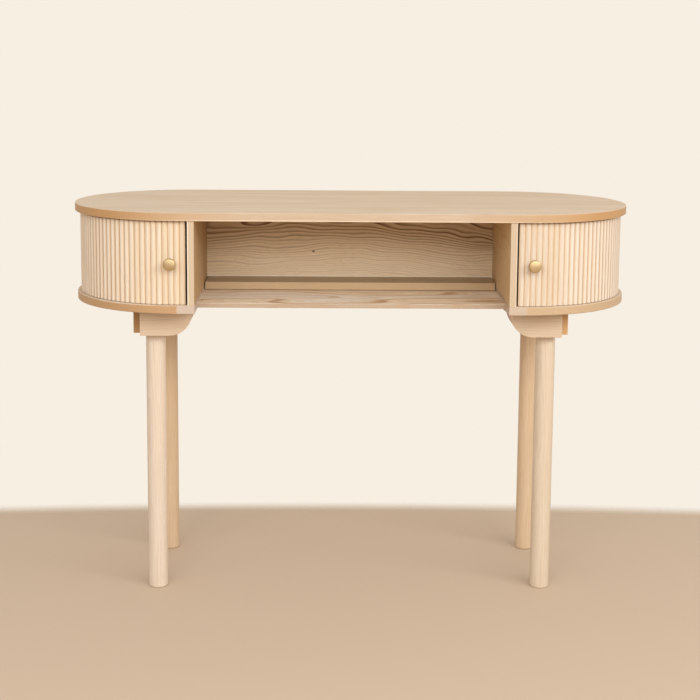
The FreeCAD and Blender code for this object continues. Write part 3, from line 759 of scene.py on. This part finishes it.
def satinBrass():
    material, tree, shader = startMaterial("satinBrass")
    fromAxis = addNode(tree, "ShaderNodeAttribute", attribute_name="latheRadius")
    marksAt = addNode(tree, "ShaderNodeMath", {0: fromAxis.outputs["Fac"], 1: 1 / brassLook["markMm"]},
                      operation="MULTIPLY")
    marks = addNode(tree, "ShaderNodeTexNoise", {"W": marksAt.outputs[0], "Scale": 1.0, "Detail": 1.0},
                    noise_dimensions="1D")
    coordinate = addNode(tree, "ShaderNodeTexCoord")
    cloud = addNode(tree, "ShaderNodeTexNoise", {
        "Vector": coordinate.outputs["Object"], "Scale": 1 / (brassLook["cloudMm"] * mm)})
    tone = addNode(tree, "ShaderNodeMix", {
        0: cloud.outputs["Fac"], 6: linear(brassLook["pale"]), 7: linear(brassLook["deep"])},
        data_type="RGBA")
    smooth, dull = brassLook["roughness"]
    gloss = addNode(tree, "ShaderNodeMapRange", {
        "Value": marks.outputs["Fac"], "To Min": smooth, "To Max": dull})
    bump = addNode(tree, "ShaderNodeBump", {
        "Height": marks.outputs["Fac"], "Strength": brassLook["bump"],
        "Distance": brassLook["reliefMm"] * mm})
    tree.links.new(tone.outputs[2], shader.inputs["Base Color"])
    tree.links.new(gloss.outputs[0], shader.inputs["Roughness"])
    tree.links.new(bump.outputs[0], shader.inputs["Normal"])
    shader.inputs["Metallic"].default_value = 1.0
    return material


brass = satinBrass()
for side, sign in sides.items():
    knob = meshFrom(turning(knobProfile(), knobs["steps"]), side + "Knob")
    lathe = knob.attributes.new("latheRadius", "FLOAT", "POINT")
    for point, value in zip(knob.vertices, lathe.data):
        value.value = point.co.xy.length / mm
    knob.transform(knobPlace(sign, slats["crownRadius"]))
    shadeByAngle(knob, knobs["creaseDegrees"])
    finishPiece(side + "KnobTurned", knob, side + "_tambour", side + "_knob", brass)

    # the round flat on the slats that carries the knob's foot
    reach = knobs["footRadius"] + knobs["seatClearance"]
    depth = 2 * slats["crown"]
    seatOutline = [(0.0, 0.0), (reach, 0.0), (reach, depth), (0.0, depth)]
    seat = meshFrom(turning(seatOutline, knobs["steps"]), "seat")
    seat.transform(knobPlace(sign, shoulderRadius))
    shaft, past = knobs["boreRadius"], knobs["drillReach"]
    drill = [(0.0, -past), (shaft, -past), (shaft, past), (0.0, past)]
    hole = meshFrom(turning(drill, knobs["drillSteps"]), "hole")
    hole.transform(knobPlace(sign, shoulderRadius))
    row = combined(slatMeshes[side], [seat, hole], "DIFFERENCE")
    shadeByAngle(row, slats["creaseDegrees"])
    shadeSlats(row, side)
    finishPiece(side + "TambourStaves", row, side + "_tambour", side + "_tambour_slats",
                ashSlats[side])
print("knobs turned and seated")

# Canvas: the cotton cloth glued behind the slats, cut to the width of the whole row
canvas = {
    "thickness": 0.8 * mm,
    "margin": 14.0 * mm,
    "threadMm": 1.6,            # coarser than the real thread so that it shows
    "slub": 0.6,                # uneven places to each thread
    "dark": "#CDBFA4",
    "pale": "#E9DFCA",
    "bump": 0.5,
    "reliefMm": 0.2,
    "roughness": 0.9,
    "specular": 0.15,
    "creaseDegrees": 20,
}


# Cotton canvas: plain weave of thick threads, matt and off-white
def cottonCanvas():
    material, tree, shader = startMaterial("cottonCanvas")
    coordinate = addNode(tree, "ShaderNodeUVMap", uv_map="weave")
    threads = addNode(tree, "ShaderNodeVectorMath", {
        0: coordinate.outputs[0], "Scale": 1 / canvas["threadMm"]}, operation="SCALE")
    checks = addNode(tree, "ShaderNodeTexChecker", {"Vector": threads.outputs[0], "Scale": 1.0})
    slub = addNode(tree, "ShaderNodeTexNoise", {
        "Vector": threads.outputs[0], "Scale": canvas["slub"], "Detail": 3.0})
    weave = addNode(tree, "ShaderNodeMath", {0: checks.outputs["Fac"], 1: slub.outputs["Fac"]},
                    operation="ADD")
    amount = addNode(tree, "ShaderNodeMapRange", {"Value": weave.outputs[0], "From Max": 2.0})
    tone = addNode(tree, "ShaderNodeMix", {
        0: amount.outputs[0], 6: linear(canvas["dark"]), 7: linear(canvas["pale"])}, data_type="RGBA")
    bump = addNode(tree, "ShaderNodeBump", {
        "Height": weave.outputs[0], "Strength": canvas["bump"], "Distance": canvas["reliefMm"] * mm})
    tree.links.new(tone.outputs[2], shader.inputs["Base Color"])
    tree.links.new(bump.outputs[0], shader.inputs["Normal"])
    shader.inputs["Roughness"].default_value = canvas["roughness"]
    shader.inputs["Specular IOR Level"].default_value = canvas["specular"]
    return material


def onArc(sign, radius, angle):
    # place on a round end, seen from above, at an angle from its front
    return (sign * (arcX + radius * math.sin(angle)), -radius * math.cos(angle))


canvasCloth = cottonCanvas()
faceReach = 1 / math.cos(slatPitch / 2)
corners = [leadAngle + i * slatPitch for i in range(slatCount + 1)]
canvasLow, canvasHigh = slatLow + canvas["margin"], slatHigh - canvas["margin"]
for side, sign in sides.items():
    outer = [onArc(sign, slatBack * faceReach, a) for a in corners]
    inner = [onArc(sign, (slatBack - canvas["thickness"]) * faceReach, a) for a in reversed(corners)]
    cloth = meshFrom(prism(outer + inner, canvasLow, canvasHigh), side + "Canvas")
    weave = cloth.uv_layers.new(name="weave")
    for loop in cloth.loops:
        x, y, z = cloth.vertices[loop.vertex_index].co
        around = math.atan2(sign * x - arcX, -y) * slatBack
        weave.data[loop.index].uv = (around / mm, z / mm)
    shadeByAngle(cloth, canvas["creaseDegrees"])
    piece = finishPiece(side + "CanvasBacking", cloth, side + "_tambour",
                        side + "_tambour_canvas", canvasCloth)
print("canvas stretched behind the slats")

# Legs: round ash poles with a softened foot and a bore for the leg bolt
legs = {
    "footRound": 3.0 * mm,
    "topEase": 0.6 * mm,
    "boreRadius": 4.05 * mm,
    "boreDepth": 38.5 * mm,
    "heartX": -40.0,            # middle of the tree from the leg's lowest X and Y, mm
    "heartY": -70.0,
    "steps": 96,
    "footSteps": 6,
    "creaseDegrees": 35,
}
# legs toned apart as painted light and shade: the rear legs darker and warmer as painted shade under the
# desk, the two sides for the uneven light
legTones = {
    ("left", "front"): {"pale": "#E8DACA", "warm": "#E0C9AF"},
    ("right", "front"): {"pale": "#E0D1BC", "warm": "#D8C0A2"},
    ("left", "rear"): {"pale": "#DCC4A5", "warm": "#D0AE85"},
    ("right", "rear"): {"pale": "#E1C9AB", "warm": "#D5B38A"},
}
legLow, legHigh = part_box("right_front_leg")
legRadius = (legHigh.x - legLow.x) / 2
legTop = legHigh.z


def legProfile():
    soft, ease = legs["footRound"], legs["topEase"]
    drilled, boreEnd = legs["boreRadius"], legTop - legs["boreDepth"]
    bore = [(0.0, boreEnd), (drilled, boreEnd), (drilled, legTop)]
    shaft = [(legRadius - ease, legTop), (legRadius, legTop - ease)]
    foot = arcPoints((legRadius - soft, soft), soft, 0, -90, legs["footSteps"])
    return bore + shaft + foot + [(0.0, 0.0)]


for side in sides:
    for end in ends:
        leg = side + end.title()
        low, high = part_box(f"{side}_{end}_leg")
        pole = meshFrom(turning(legProfile(), legs["steps"]), leg + "Leg")
        pole.transform(Matrix.Translation(((low.x + high.x) / 2, (low.y + high.y) / 2, 0.0)))
        shadeByAngle(pole, legs["creaseDegrees"])
        treeX, treeY = low.x / mm + legs["heartX"], low.y / mm + legs["heartY"]
        poleAsh = oiledAsh(
            leg + "OiledAshLeg", grain="Z", heart=(treeY, -treeX), lean=(0.3, 0.2), ringMm=4.2,
            latewood=0.25, fibres=0.2, driftMm=16.0, **legTones[side, end])
        finishPiece(leg + "LegTurned", pole, "carcass", f"{side}_{end}_leg", poleAsh)
print("legs turned")

# Zinc-plated steel: bright grey with a faint blue-yellow cloud, satin
zincLook = {"blue": "#B9BCC0", "yellow": "#D2CDBE", "cloudMm": 4.0, "roughness": (0.25, 0.45)}


def zincSteel():
    material, tree, shader = startMaterial("zincPlatedSteel")
    coordinate = addNode(tree, "ShaderNodeTexCoord")
    cloud = addNode(tree, "ShaderNodeTexNoise", {
        "Vector": coordinate.outputs["Object"], "Scale": 1 / (zincLook["cloudMm"] * mm), "Detail": 3.0})
    tone = addNode(tree, "ShaderNodeMix", {
        0: cloud.outputs["Fac"], 6: linear(zincLook["blue"]), 7: linear(zincLook["yellow"])},
        data_type="RGBA")
    smooth, dull = zincLook["roughness"]
    gloss = addNode(tree, "ShaderNodeMapRange", {
        "Value": cloud.outputs["Fac"], "To Min": smooth, "To Max": dull})
    tree.links.new(tone.outputs[2], shader.inputs["Base Color"])
    tree.links.new(gloss.outputs[0], shader.inputs["Roughness"])
    shader.inputs["Metallic"].default_value = 1.0
    return material


# Fasteners keep their CAD shape
steel = zincSteel()
for node in ("block_screws", "ledge_screws", "back_panel_screws", "leg_bolts", "leg_inserts"):
    dress(node, steel)
for side in sides:
    dress(side + "_knob_screw", steel)
    dress(side + "_knob_washer", steel)

# Oiled beech of the dowels: the same growth as ash, closer and redder
beech = oiledAsh(
    "beechDowel", pale="#DDB48A", warm="#D0A074", late="#B98655", ringMm=2.0, latewood=0.3, driftMm=12.0)
for node in ("panel_dowels", "shelf_dowels", "back_panel_dowels", "rail_dowels"):
    dress(node, beech)
print("fasteners dressed")

# Floor: plain pale beige, a long oval that ends softly against the backdrop close behind the desk
floor = {
    "radius": 3.5,
    "segments": 96,
    "tone": "#CDB8A2",
    "roughness": 0.7,
    "specular": 0.2,
    "middleY": -0.75,
    "squeezeX": 0.35,           # width of the oval against its length
    "fadeFrom": 1.11,           # where it starts to fade and is gone, from its middle
    "fadeTo": 1.19,
}


def paintedFloor():
    material, tree, shader = startMaterial("paintedFloor")
    coordinate = addNode(tree, "ShaderNodeTexCoord")
    oval = addNode(tree, "ShaderNodeMapping", {
        "Vector": coordinate.outputs["Object"], "Location": (0.0, -floor["middleY"], 0.0),
        "Scale": (floor["squeezeX"], 1.0, 1.0)})
    away = addNode(tree, "ShaderNodeVectorMath", {0: oval.outputs[0]}, operation="LENGTH")
    fade = addNode(tree, "ShaderNodeMapRange", {
        "Value": away.outputs["Value"], "From Min": floor["fadeFrom"], "From Max": floor["fadeTo"]},
        interpolation_type="SMOOTHSTEP")
    shader.inputs["Base Color"].default_value = linear(floor["tone"])
    shader.inputs["Roughness"].default_value = floor["roughness"]
    shader.inputs["Specular IOR Level"].default_value = floor["specular"]
    gone = addNode(tree, "ShaderNodeBsdfTransparent")
    both = addNode(tree, "ShaderNodeMixShader", {
        0: fade.outputs[0], 1: shader.outputs[0], 2: gone.outputs[0]})
    tree.links.new(both.outputs[0], tree.nodes["Material Output"].inputs["Surface"])
    return material


bm = bmesh.new()
bmesh.ops.create_circle(bm, cap_ends=True, segments=floor["segments"], radius=floor["radius"])
floorDisc = addObject("studioFloor", meshFrom(bm, "studioFloor"))
floorDisc.data.materials.append(paintedFloor())

# Light: a pale backdrop, bright behind the desk, dim in front of it but for three broad windows,
# of which the left one is the weakest
lights = {
    "backdrop": "#F7EFE2",       # what the camera and the sheen of the wood see past the floor
    "front": "#868583",          # tones of the light that comes from each way
    "rear": "#D2CCC1",
    "above": "#D4CFC6",
    "below": "#B39C86",
    "toRear": (-0.2, 0.5),       # part of a direction along +Y, from the front's tone to the rear's
    "toAbove": (0.15, 0.7),      # part of it along +Z, from the tone around to the one above
    "horizon": (-0.03, 0.03),
    "colour": "#FFFEFC",         # of the windows
    "windows": {                 # turn and rise in degrees, away and size in metres
        "frontWindow": {"turn": 0.0, "rise": 26.0, "away": 4.4, "watts": 90.0, "size": (3.8, 2.4)},
        "rightWindow": {"turn": 45.0, "rise": 26.0, "away": 4.4, "watts": 76.0, "size": (3.0, 1.7)},
        "leftWindow": {"turn": -38.0, "rise": 26.0, "away": 4.4, "watts": 22.0, "size": (3.0, 1.7)},
    },
}
room = bpy.data.worlds.new("studioRoom")
scene.world = room
room.use_nodes = True
tree = room.node_tree
tree.nodes.clear()
direction = addNode(tree, "ShaderNodeTexCoord")
heading = addNode(tree, "ShaderNodeSeparateXYZ", {0: direction.outputs["Generated"]})
shares = {}
for name, axis in (("toRear", "Y"), ("toAbove", "Z"), ("horizon", "Z")):
    low, high = lights[name]
    share = addNode(tree, "ShaderNodeMapRange", {
        "Value": heading.outputs[axis], "From Min": low, "From Max": high})
    shares[name] = share.outputs[0]
around = addNode(tree, "ShaderNodeMix", {
    0: shares["toRear"], 6: linear(lights["front"]), 7: linear(lights["rear"])}, data_type="RGBA")
upper = addNode(tree, "ShaderNodeMix", {
    0: shares["toAbove"], 6: around.outputs[2], 7: linear(lights["above"])}, data_type="RGBA")
glow = addNode(tree, "ShaderNodeMix", {
    0: shares["horizon"], 6: linear(lights["below"]), 7: upper.outputs[2]}, data_type="RGBA")
ray = addNode(tree, "ShaderNodeLightPath")
mirrored = addNode(tree, "ShaderNodeMath", {0: ray.outputs["Is Glossy Ray"], 1: shares["toRear"]},
                   operation="MULTIPLY")
seen = addNode(tree, "ShaderNodeMath", {0: ray.outputs["Is Camera Ray"], 1: mirrored.outputs[0]},
               operation="MAXIMUM")
sight = addNode(tree, "ShaderNodeMix", {
    0: seen.outputs[0], 6: glow.outputs[2], 7: linear(lights["backdrop"])}, data_type="RGBA")
shine = addNode(tree, "ShaderNodeBackground", {"Color": sight.outputs[2]})
addNode(tree, "ShaderNodeOutputWorld", {"Surface": shine.outputs[0]})
deskMiddle = (cadBox[0] + cadBox[1]) / 2
for name, window in lights["windows"].items():
    lamp = bpy.data.lights.new(name, "AREA")
    lamp.shape = "RECTANGLE"
    lamp.size, lamp.size_y = window["size"]
    lamp.energy = window["watts"]
    lamp.color = linear(lights["colour"])[:3]
    holder = addObject(name, lamp)
    turn = Matrix.Rotation(math.radians(window["turn"]), 3, "Z")
    rise = Matrix.Rotation(-math.radians(window["rise"]), 3, "X")
    outward = turn @ rise @ Vector((0.0, -1.0, 0.0))
    holder.location = deskMiddle + window["away"] * outward
    holder.rotation_euler = (-outward).to_track_quat("-Z", "Y").to_euler()

# Camera at the photograph's height, aimed a little down
camera = {
    "at": (-0.0478, -3.0, 1.0801),
    "yaw": -0.0155,              # turns in radians
    "pitch": -0.1447,
    "roll": 0.0075,
    "lensMm": 77.25,
    "sensorMm": 36.0,
    "shiftY": -0.13,
}
eye = bpy.data.cameras.new("camera")
eye.lens = camera["lensMm"]
eye.sensor_width = camera["sensorMm"]
eye.shift_y = camera["shiftY"]
stand = addObject("camera", eye)
aim = Matrix.Rotation(camera["yaw"], 4, "Z") @ Matrix.Rotation(math.pi / 2 + camera["pitch"], 4, "X")
stand.matrix_world = Matrix.Translation(camera["at"]) @ aim @ Matrix.Rotation(camera["roll"], 4, "Z")
scene.camera = stand
scene.view_settings.view_transform = "Standard"    # the mixed colours are shown as they are
print("stage, light and camera set")
